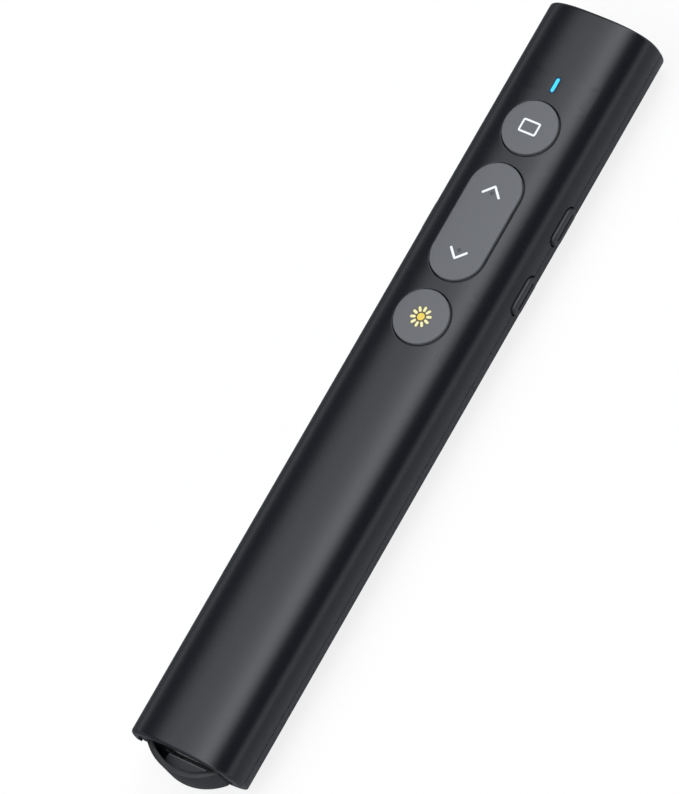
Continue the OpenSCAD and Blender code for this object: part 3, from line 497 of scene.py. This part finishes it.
def finish_of(name, light, dark, rough, spread, size, bump=0.0, metallic=0.0, stretch=(1, 1, 1), **shader):
    """One material: two close tones mixed by a noise of a real size, roughness that varies a little with the
    same noise, and a fine bump. size is the noise's grain and bump its height in millimetres, spread is how
    far the roughness varies, and stretch draws the grain out."""
    material = bpy.data.materials.new(name)
    material.use_nodes = True
    tree = material.node_tree
    tree.nodes.clear()
    where = add(tree, "ShaderNodeTexCoord")
    turn = add(tree, "ShaderNodeMapping", {"Scale": stretch}, {"Vector": (where, "Object")})
    grain = add(tree, "ShaderNodeTexNoise", {"Scale": 1000 / size, "Detail": 3.0, "Roughness": 0.55},
                {"Vector": (turn, "Vector")})
    tone = add(tree, "ShaderNodeMix", {"data_type": "RGBA", 6: linear(dark), 7: linear(light)},
               {0: (grain, "Fac")})
    gloss = add(tree, "ShaderNodeMapRange", {"To Min": rough - spread, "To Max": rough + spread},
                {"Value": (grain, "Fac")})
    links = {"Base Color": (tone, 2), "Roughness": (gloss, "Result")}
    if bump:
        height = add(tree, "ShaderNodeBump", {"Strength": 1.0, "Distance": bump * MM},
                     {"Height": (grain, "Fac")})
        links["Normal"] = (height, "Normal")
    principled = add(tree, "ShaderNodeBsdfPrincipled", {"Metallic": metallic, **shader}, links)
    add(tree, "ShaderNodeOutputMaterial", None, {"Surface": (principled, "BSDF")})
    return material


# Black ABS, injection moulded against a fine satin tool: soft broad highlights, hardly any colour of its own
SHELL = finish_of("ABS_moulded_satin_black", "#191b20", "#16181c", 0.27, 0.012, 0.9, IOR=1.5)
# The same ABS on the battery cover, a trace duller
COVER = finish_of("ABS_moulded_satin_black_cover", "#191b20", "#16181c", 0.275, 0.012, 0.9, IOR=1.5)
# Black ABS of the front plug: a little glossier than the shells
CAP = finish_of("ABS_moulded_gloss_black", "#141416", "#101012", 0.2, 0.02, 1.5, IOR=1.5)
# Grey silicone rubber, compression moulded: even, dull, with a faint sheen at grazing angles
KEY = finish_of("silicone_moulded_grey", "#696a6d", "#656669", 0.52, 0.02, 0.5, 0.002, IOR=1.42)
# Black ABS of the side keys, moulded without polish: a soft sheen
SIDE_KEY = finish_of("ABS_moulded_black_keys", "#2a2b2f", "#252629", 0.36, 0.02, 0.8, IOR=1.5)
# Black moulded ABS inside: duller, off a spark-eroded tool
INNER = finish_of("ABS_spark_textured_inside", "#242527", "#1d1e20", 0.55, 0.04, 0.4, 0.004, IOR=1.5)
# Dark grey moulded ABS of the receiver: dull, with weak highlights
RECEIVER = finish_of("ABS_moulded_dark_grey", "#1f2023", "#1a1b1e", 0.45, 0.03, 0.5, 0.002, IOR=1.47)
# The ring's web: the same ABS off a coarse tool, painted paler as painted light on its shaded top, with a
# painted highlight along its straight edge
WEB_PAINTED_LIGHT = finish_of("ABS_spark_textured_web_painted_light", "#66676c", "#5c5d62", 0.6, 0.03, 0.4, IOR=1.47)
WEB_EDGE_HIGHLIGHT = finish_of("ABS_web_painted_edge_highlight", "#9fa0a5", "#97989d", 0.5, 0.03, 0.4, IOR=1.47)
# Glass-filled black nylon in the plugs: dull with pale flecks
SOCKET = finish_of("nylon_moulded_black", "#1c1c1d", "#121213", 0.5, 0.04, 0.3, 0.002, IOR=1.53)
# White ink, pad printed on the keys: flat, with hardly any gloss
INK = finish_of("ink_pad_printed_white", "#ffffff", "#fbfbfb", 0.55, 0.03, 0.4, IOR=1.45)
# Yellow and brown inks, pad printed in layers: flat colours; the dark one is no ink but painted shade round
# the raised dots on the page key
INK_GOLD = finish_of("ink_pad_printed_gold", "#f6dc64", "#f0cf54", 0.55, 0.03, 0.3, IOR=1.45)
INK_PALE = finish_of("ink_pad_printed_pale_yellow", "#fbf4bd", "#f6eeae", 0.55, 0.03, 0.3, IOR=1.45)
INK_BROWN = finish_of("ink_pad_printed_brown", "#5e5130", "#544828", 0.55, 0.03, 0.3, IOR=1.45)
DOT_SHADE = finish_of("painted_shade_dot_ring", "#3b3c40", "#333438", 0.55, 0.03, 0.3, IOR=1.45)
# Blue tinted acrylic light pipe: deep blue at its rim, where no light reaches
PIPE = finish_of("acrylic_moulded_blue_rim", "#134d86", "#104478", 0.15, 0.03, 0.6, IOR=1.49)
# The lit core of the pipe: it glows an even sky blue
LAMP = finish_of("acrylic_moulded_blue_lit", "#27b4ee", "#1ba4e6", 0.2, 0.03, 0.6, IOR=1.49,
                 **{"Emission Color": linear("#35d8ff"), "Emission Strength": 0.5})
# Red tinted acrylic window in front of the laser: smooth and deep
WINDOW = finish_of("acrylic_moulded_red_window", "#5a0c10", "#4a080c", 0.08, 0.02, 1.0, IOR=1.49)
# Ground glass lens: clear, smooth
LENS = finish_of("glass_ground_lens", "#c9d2d6", "#c0cacf", 0.05, 0.01, 1.0, IOR=1.52,
                 **{"Transmission Weight": 0.9})
# Turned brass barrel: fine rings round it
BRASS = finish_of("brass_turned", "#c9a557", "#b8934a", 0.28, 0.05, 0.25, 0.001, 1.0, (0.05, 1, 0.05))
# Gold over nickel on the contacts: yellow, smooth
GOLD = finish_of("gold_plated_contact", "#e3c06a", "#dab45c", 0.2, 0.03, 0.4, 0.0, 1.0)
# Nickel plated steel sheet of the plugs: bright, with faint rolling lines along it
NICKEL = finish_of("steel_sheet_nickel_plated", "#e2e2de", "#d6d6d2", 0.22, 0.04, 0.35, 0.0006, 1.0,
                   (1, 0.06, 1))
# The same sheet on the small plug, tumbled to a softer shine, and painted darker all over as painted shade for
# where it sits deep in the tail
NICKEL_SHADED = finish_of("steel_sheet_nickel_painted_darker", "#b6b6b2", "#acaca8", 0.42, 0.04, 0.35, 0.0006, 1.0)
# Zinc plated steel of the screws, spring and diode can: greyer and softer than the nickel
STEEL = finish_of("steel_zinc_plated", "#b9babc", "#a6a7a9", 0.32, 0.05, 0.4, 0.001, 1.0)
# Plastic film shrunk round the cell: satin
JACKET = finish_of("film_shrunk_cell_jacket", "#2b2c2f", "#242528", 0.3, 0.03, 0.8, IOR=1.5)
# Glass-epoxy laminate with green solder mask: weave shows faintly through
BOARD = finish_of("laminate_green_solder_mask", "#1f6b41", "#195a36", 0.35, 0.05, 0.5, 0.003, IOR=1.5)
# Moulded epoxy of the chips: dull black
EPOXY = finish_of("epoxy_moulded_chip", "#1b1b1c", "#141415", 0.6, 0.04, 0.25, 0.003, IOR=1.55)
# Extruded PVC insulation of the leads: soft red, half dull
LEAD = finish_of("pvc_extruded_lead", "#a01c1c", "#8d1616", 0.4, 0.03, 0.5, IOR=1.53)


# ---------------------------------------------------------------- body

skin = body_skin()
for shell in ("upper_shell", "lower_shell"):
    place(shell + "_moulded", intersected(shell, skin.copy()), "root", SHELL, "shell_plastic", [shell])
cover_skin = body_skin(LENGTH - COVER_IN, COVER_ROUND)
place("battery_cover_moulded", intersected("battery_cover", cover_skin), "cover", COVER, "cover_plastic",
      ["battery_cover"])

# ---------------------------------------------------------------- keys and windows

RUBBER = (KEY, "key_plastic")
HARD = (SIDE_KEY, "side_key_plastic")
ROUND_KEY = (KEY_RADIUS, 0.0, KEY_LIFT, KEY_EDGE, 11.6, 9.0, 3.0)
LONG_KEY = (KEY_RADIUS, PAGE_SPINE, KEY_LIFT, KEY_EDGE, 11.0, 8.5, 4.5)
VOLUME_KEY = (VOLUME_RADIUS, VOLUME_SPINE, SIDE_LIFT, VOLUME_EDGE, 9.6, 5.0, 3.0)
SLIDE_KNOB = (KNOB_RADIUS, KNOB_SPINE, SIDE_LIFT, KNOB_EDGE, 9.6, 5.0, 3.0)
INDICATOR = (WINDOW_RADIUS, WINDOW_SPINE, WINDOW_TOP, WINDOW_EDGE, 12.4, 8.0, 2.0)
CAPS = [
    # node, piece, body, finish, then face, middle, offset and the rest of what the envelope takes
    ("screen_button", "screen_button_cap", "screen_key", RUBBER, "top", SCREEN, 0.0, ROUND_KEY),
    ("page_rocker", "page_rocker_cap", "page_key", RUBBER, "top", PAGE, 0.0, LONG_KEY),
    ("laser_button", "laser_button_cap", "laser_key", RUBBER, "top", LASER, 0.0, ROUND_KEY),
    ("volume_up_button", "volume_up_button_cap", "volume_up_key", HARD, "right", VOLUME_UP, VOLUME_OFFSET,
     VOLUME_KEY),
    ("volume_down_button", "volume_down_button_cap", "volume_down_key", HARD, "right", VOLUME_DOWN,
     VOLUME_OFFSET, VOLUME_KEY),
    ("power_knob", "power_knob_cap", "power_slider", HARD, "left", KNOB, 0.0, SLIDE_KNOB),
    ("light_pipe", "light_pipe_window", "root", (PIPE, "light_plastic"), "flat", LIGHT, 0.0, INDICATOR),
]
for node, piece, body, finish, face, middle, offset, shape in CAPS:
    place(piece, intersected(node, cap_envelope(face, middle, offset, *shape)), body, *finish, [node])

# ---------------------------------------------------------------- the lit core and the printed symbols

CORE_LIFT = 0.006
core = inlay(*stroke([(0, LIGHT - 1.32), (0, LIGHT + 1.3)], 0.62), CORE_LIFT, crown=window_crown)
place("indicator_core", joined("core", [core]), "root", LAMP, "light_plastic")

LINE = 0.42             # width of a drawn line
INK_LIFT = 0.02         # how far an ink lies over the cap's crown
outline = inlay(frame_path(0.0, SCREEN, 3.15, 2.2, 0.2), 0.18, INK_LIFT, closed=True)
place("screen_key_symbol", joined("screen_symbol", [outline]), "screen_key", INK, "key_plastic")
forward = inlay(*stroke([(-1.7, PAGE - 5.0), (0.05, PAGE - 6.8), (1.8, PAGE - 5.0)], LINE), INK_LIFT)
backward = inlay(*stroke([(-1.65, PAGE + 5.6), (0.05, PAGE + 7.3), (1.75, PAGE + 5.6)], LINE), INK_LIFT)
place("page_key_symbols", joined("page_symbols", [forward, backward]), "page_key", INK, "key_plastic")
# The two raised dots are shown with painted shade: a dark ring, drawn as a dark spot with a key-coloured one
# over it
DOT_BACKS = (PAGE - 5.5, PAGE + 5.7)
dot_shades = [inlay(*spot(0.1, back, 0.32), 0.008) for back in DOT_BACKS]
place("page_key_dot_shade", joined("page_dot_shade", dot_shades), "page_key", DOT_SHADE, "key_plastic")
middles = [inlay(*spot(0.12, back, 0.15), 0.014) for back in DOT_BACKS]
place("page_key_dot_middles", joined("page_dot_middles", middles), "page_key", KEY, "key_plastic")

# The sun: brown rims lowest, then pale rays, then the gold disc
SUN = np.array([0.1, LASER + 0.1])
RIM_LIFT, DISC_RIM_LIFT, RAY_LIFT, DISC_LIFT = 0.012, 0.014, 0.022, 0.026
RAY_COUNT = 10


def sun_rays(start, stop, width, lift):
    """Strokes that point away from the sun's middle at even turns, from one distance to another."""
    rays = []
    for k in range(RAY_COUNT):
        turn = math.radians((k + 0.5) * 360 / RAY_COUNT)
        way = np.array([math.cos(turn), math.sin(turn)])
        rays.append(inlay(*stroke([SUN + way * start, SUN + way * stop], width), lift))
    return rays


rays = sun_rays(0.92, 1.94, 0.5, RAY_LIFT)
rims = sun_rays(0.84, 2.02, 0.72, RIM_LIFT) + [inlay(*spot(*SUN, 0.84), DISC_RIM_LIFT)]
disc = inlay(*spot(*SUN, 0.68), DISC_LIFT)
place("laser_key_rays", joined("rays", rays), "laser_key", INK_PALE, "key_plastic")
place("laser_key_ray_rims", joined("ray_rims", rims), "laser_key", INK_BROWN, "key_plastic")
place("laser_key_sun", joined("sun", [disc]), "laser_key", INK_GOLD, "key_plastic")

# ---------------------------------------------------------------- smaller parts

EASED = [
    # node, body, edge, material, slot
    ("front_cap", "root", 0.03, CAP, "cap_plastic"),
    ("laser_window", "root", 0.06, WINDOW, "window_glass"),
    ("receiver_bay", "root", 0.03, INNER, "inner_plastic"),
    ("battery_frame", "root", 0.03, INNER, "inner_plastic"),
    ("battery_can", "root", 0.35, JACKET, "cell_jacket"),
    ("battery_terminal", "root", 0.2, NICKEL, "nickel_sheet"),
    ("usb_a_shell", "receiver", 0.08, NICKEL, "nickel_sheet"),
    ("usb_a_tongue", "receiver", 0.08, SOCKET, "socket_plastic"),
    ("usb_a_contacts", "receiver", 0.03, GOLD, "gold_plate"),
    ("receiver_housing", "receiver", 0.25, RECEIVER, "receiver_plastic"),
    ("usb_c_shell", "receiver", 0.06, NICKEL_SHADED, "nickel_sheet"),
    ("bail", "bail_ring", 0.3, RECEIVER, "receiver_plastic"),
]
for node, body, edge, material, slot in EASED:
    place(node + "_eased", eased(node, edge), body, material, slot, [node])

# The web in the ring's arc: height of its top, y of its straight edge, half width, and the ring's middle and
# inner radius
WEB_TOP, WEB_START, WEB_HALF = 6.38, -70.0, 4.15
RING_Y, RING_INSIDE = -63.11, 9.09
WEB_REACH, HIGHLIGHT_REACH = 9.0, 0.16       # how far the painted-light face and the painted edge highlight may reach from the straight edge
WEB_GAP = 0.05                          # the sheets stop this far before the ring
WEB_SINK = 0.03                         # and their undersides lie this far inside the web


def web_sheet(reach, lift):
    """A thin sheet on the web's top, from its straight edge to the nearer of a reach and the ring's inner
    circle, y = y0 - sqrt(r^2 - x^2)."""
    x = np.linspace(-WEB_HALF, WEB_HALF, 49)
    start = np.full_like(x, WEB_START)
    arc = RING_Y - np.sqrt(RING_INSIDE ** 2 - x ** 2) - WEB_GAP
    stop = np.maximum(arc, WEB_START - reach)
    lines = ((start, lift), (stop, lift), (stop, -WEB_SINK), (start, -WEB_SINK))
    grid = np.stack([np.stack([x, y, np.full_like(x, WEB_TOP + z)], -1) for y, z in lines], 1)
    count, width = grid.shape[:2]
    first = np.arange(width)
    ends = np.stack([first[::-1], (count - 1) * width + first])
    return mesh_from("sheet", grid.reshape(-1, 3), [loft_faces(count, width), ends])


# A paler sheet over the web's top: painted light where the web lies in shade
place("bail_web_painted_light", web_sheet(WEB_REACH, 0.01), "bail_ring", WEB_PAINTED_LIGHT, "receiver_plastic")
# A thin pale strip along the web's straight edge: a painted highlight
place("bail_web_edge_highlight", web_sheet(HIGHLIGHT_REACH, 0.02), "bail_ring", WEB_EDGE_HIGHLIGHT, "receiver_plastic")

# ---------------------------------------------------------------- what stays as it is modelled

SLOT_FINISH = {
    "shell_plastic": SHELL, "cover_plastic": COVER, "cap_plastic": CAP, "key_plastic": KEY,
    "side_key_plastic": SIDE_KEY, "inner_plastic": INNER, "receiver_plastic": RECEIVER,
    "socket_plastic": SOCKET, "light_plastic": PIPE, "window_glass": WINDOW, "lens_glass": LENS,
    "laser_brass": BRASS, "gold_plate": GOLD, "nickel_sheet": NICKEL, "steel": STEEL,
    "cell_jacket": JACKET, "board_laminate": BOARD, "chip_epoxy": EPOXY, "lead_pvc": LEAD,
}
for part in frame["record"]["subparts"]:
    materials = frame["nodes"][part["node"]].data.materials
    finish = SLOT_FINISH[part["material_slot"]]
    if not materials:
        materials.append(finish)
    for i in range(len(materials)):
        materials[i] = finish

# ---------------------------------------------------------------- stage

FLOOR_HALF = 30         # metres, so that the floor fills the view from everywhere
FLOOR_GLOW = 0.84
GLOSS_TURN = 0.012      # metres either side of the body's middle over which the floor's tone in gloss changes

corners = np.array([(-1, -1, 0), (1, -1, 0), (1, 1, 0), (-1, 1, 0)]) * FLOOR_HALF
floor_mesh = bpy.data.meshes.new("floor")
floor_mesh.from_pydata(corners.tolist(), [], [(0, 1, 2, 3)])
floor = bpy.data.objects.new("floor", floor_mesh)
bpy.context.scene.collection.objects.link(floor)
# Matt white paper, lit from behind like a light table: no gloss of its own
paper = finish_of("paper_matt_white", "#706f6e", "#6f6e6d", 0.95, 0.02, 40, IOR=1.3,
                  **{"Specular IOR Level": 0.0, "Emission Color": linear("#ffffff"),
                     "Emission Strength": FLOOR_GLOW})
# It shows less of its light in the body's gloss, and least on the left
tree = paper.node_tree
ray = add(tree, "ShaderNodeLightPath")
on_floor = add(tree, "ShaderNodeTexCoord")
parts = add(tree, "ShaderNodeSeparateXYZ", None, {"Vector": (on_floor, "Object")})
side = add(tree, "ShaderNodeMapRange", {"From Min": -GLOSS_TURN, "From Max": GLOSS_TURN},
           {"Value": (parts, "X")})
dim_tone = add(tree, "ShaderNodeMix", {"data_type": "RGBA", 6: linear("#6c6e72"), 7: linear("#b4b6b9")},
               {0: (side, "Result")})
dim = add(tree, "ShaderNodeBsdfDiffuse", None, {"Color": (dim_tone, 2)})
mix = add(tree, "ShaderNodeMixShader", None,
          {0: (ray, "Is Glossy Ray"), 1: (tree.nodes["Principled BSDF"], "BSDF"), 2: (dim, "BSDF")})
tree.links.new(mix.outputs[0], tree.nodes["Material Output"].inputs["Surface"])
floor_mesh.materials.append(paper)

# Soft lamps round the body's length, by the turn in degrees from +X over +Z: where each starts and stops, how
# wide its soft edges are, and its brightness
LAMPS = [
    (-210, 22, 18, 0.98),       # the pale wall on the right, down to the floor and below
    (79, 109, 28, 3.3),         # a big softbox overhead
    (112, 129, 14, 1.3),        # a smaller one beside it, to the left
    (164, 210, 14, 0.68),       # the pale wall on the left
]


def studio(world):
    """A soft room light whose brightness depends on the turn round the Y axis: the sum over the lamps of its
    brightness times a smooth step up (3t^2 - 2t^3) at its start and a smooth step down at its stop."""
    world.use_nodes = True
    tree = world.node_tree
    tree.nodes.clear()
    where = add(tree, "ShaderNodeTexCoord")
    parts = add(tree, "ShaderNodeSeparateXYZ", None, {"Vector": (where, "Generated")})
    turn = add(tree, "ShaderNodeMath", {"operation": "ARCTAN2"}, {0: (parts, "Z"), 1: (parts, "X")})
    glow = None
    for start, stop, edge, level in LAMPS:
        steps = []
        for middle, low, high in ((start, 0.0, level), (stop, 1.0, 0.0)):
            limits = {"From Min": math.radians(middle - edge / 2), "From Max": math.radians(middle + edge / 2),
                      "To Min": low, "To Max": high, "interpolation_type": "SMOOTHSTEP"}
            steps.append(add(tree, "ShaderNodeMapRange", limits, {"Value": (turn, "Value")}))
        links = {0: (steps[0], "Result"), 1: (steps[1], "Result")}
        if glow:
            links[2] = (glow, "Value")
        glow = add(tree, "ShaderNodeMath", {"operation": "MULTIPLY_ADD", 2: 0.0}, links)
    back = add(tree, "ShaderNodeBackground", {"Color": linear("#f8fbff")}, {"Strength": (glow, "Value")})
    add(tree, "ShaderNodeOutputWorld", None, {"Surface": (back, "Background")})


world = bpy.data.worlds.new("studio")
bpy.context.scene.world = world
studio(world)
bpy.context.scene.view_settings.view_transform = "Standard"

# The camera stands about a metre away with a long lens: its place, its right and its rough up
CAMERA_AT = Vector((477.01, -218.6, 900.22))
CAMERA_RIGHT = Vector((0.81013, 0.48893, -0.32349)).normalized()
CAMERA_UP = Vector((-0.35317, 0.84744, 0.39638))
FOCAL, SENSOR = 282.72, 36
FARTHEST = 100          # metres

lens = bpy.data.cameras.new("camera")
lens.lens = FOCAL
lens.sensor_width = SENSOR
lens.clip_end = FARTHEST
camera = bpy.data.objects.new("camera", lens)
bpy.context.scene.collection.objects.link(camera)
away = CAMERA_RIGHT.cross(CAMERA_UP).normalized()
axes = Matrix((CAMERA_RIGHT, away.cross(CAMERA_RIGHT), away)).transposed()
camera.matrix_world = Matrix.Translation(CAMERA_AT * MM) @ axes.to_4x4()
bpy.context.scene.camera = camera
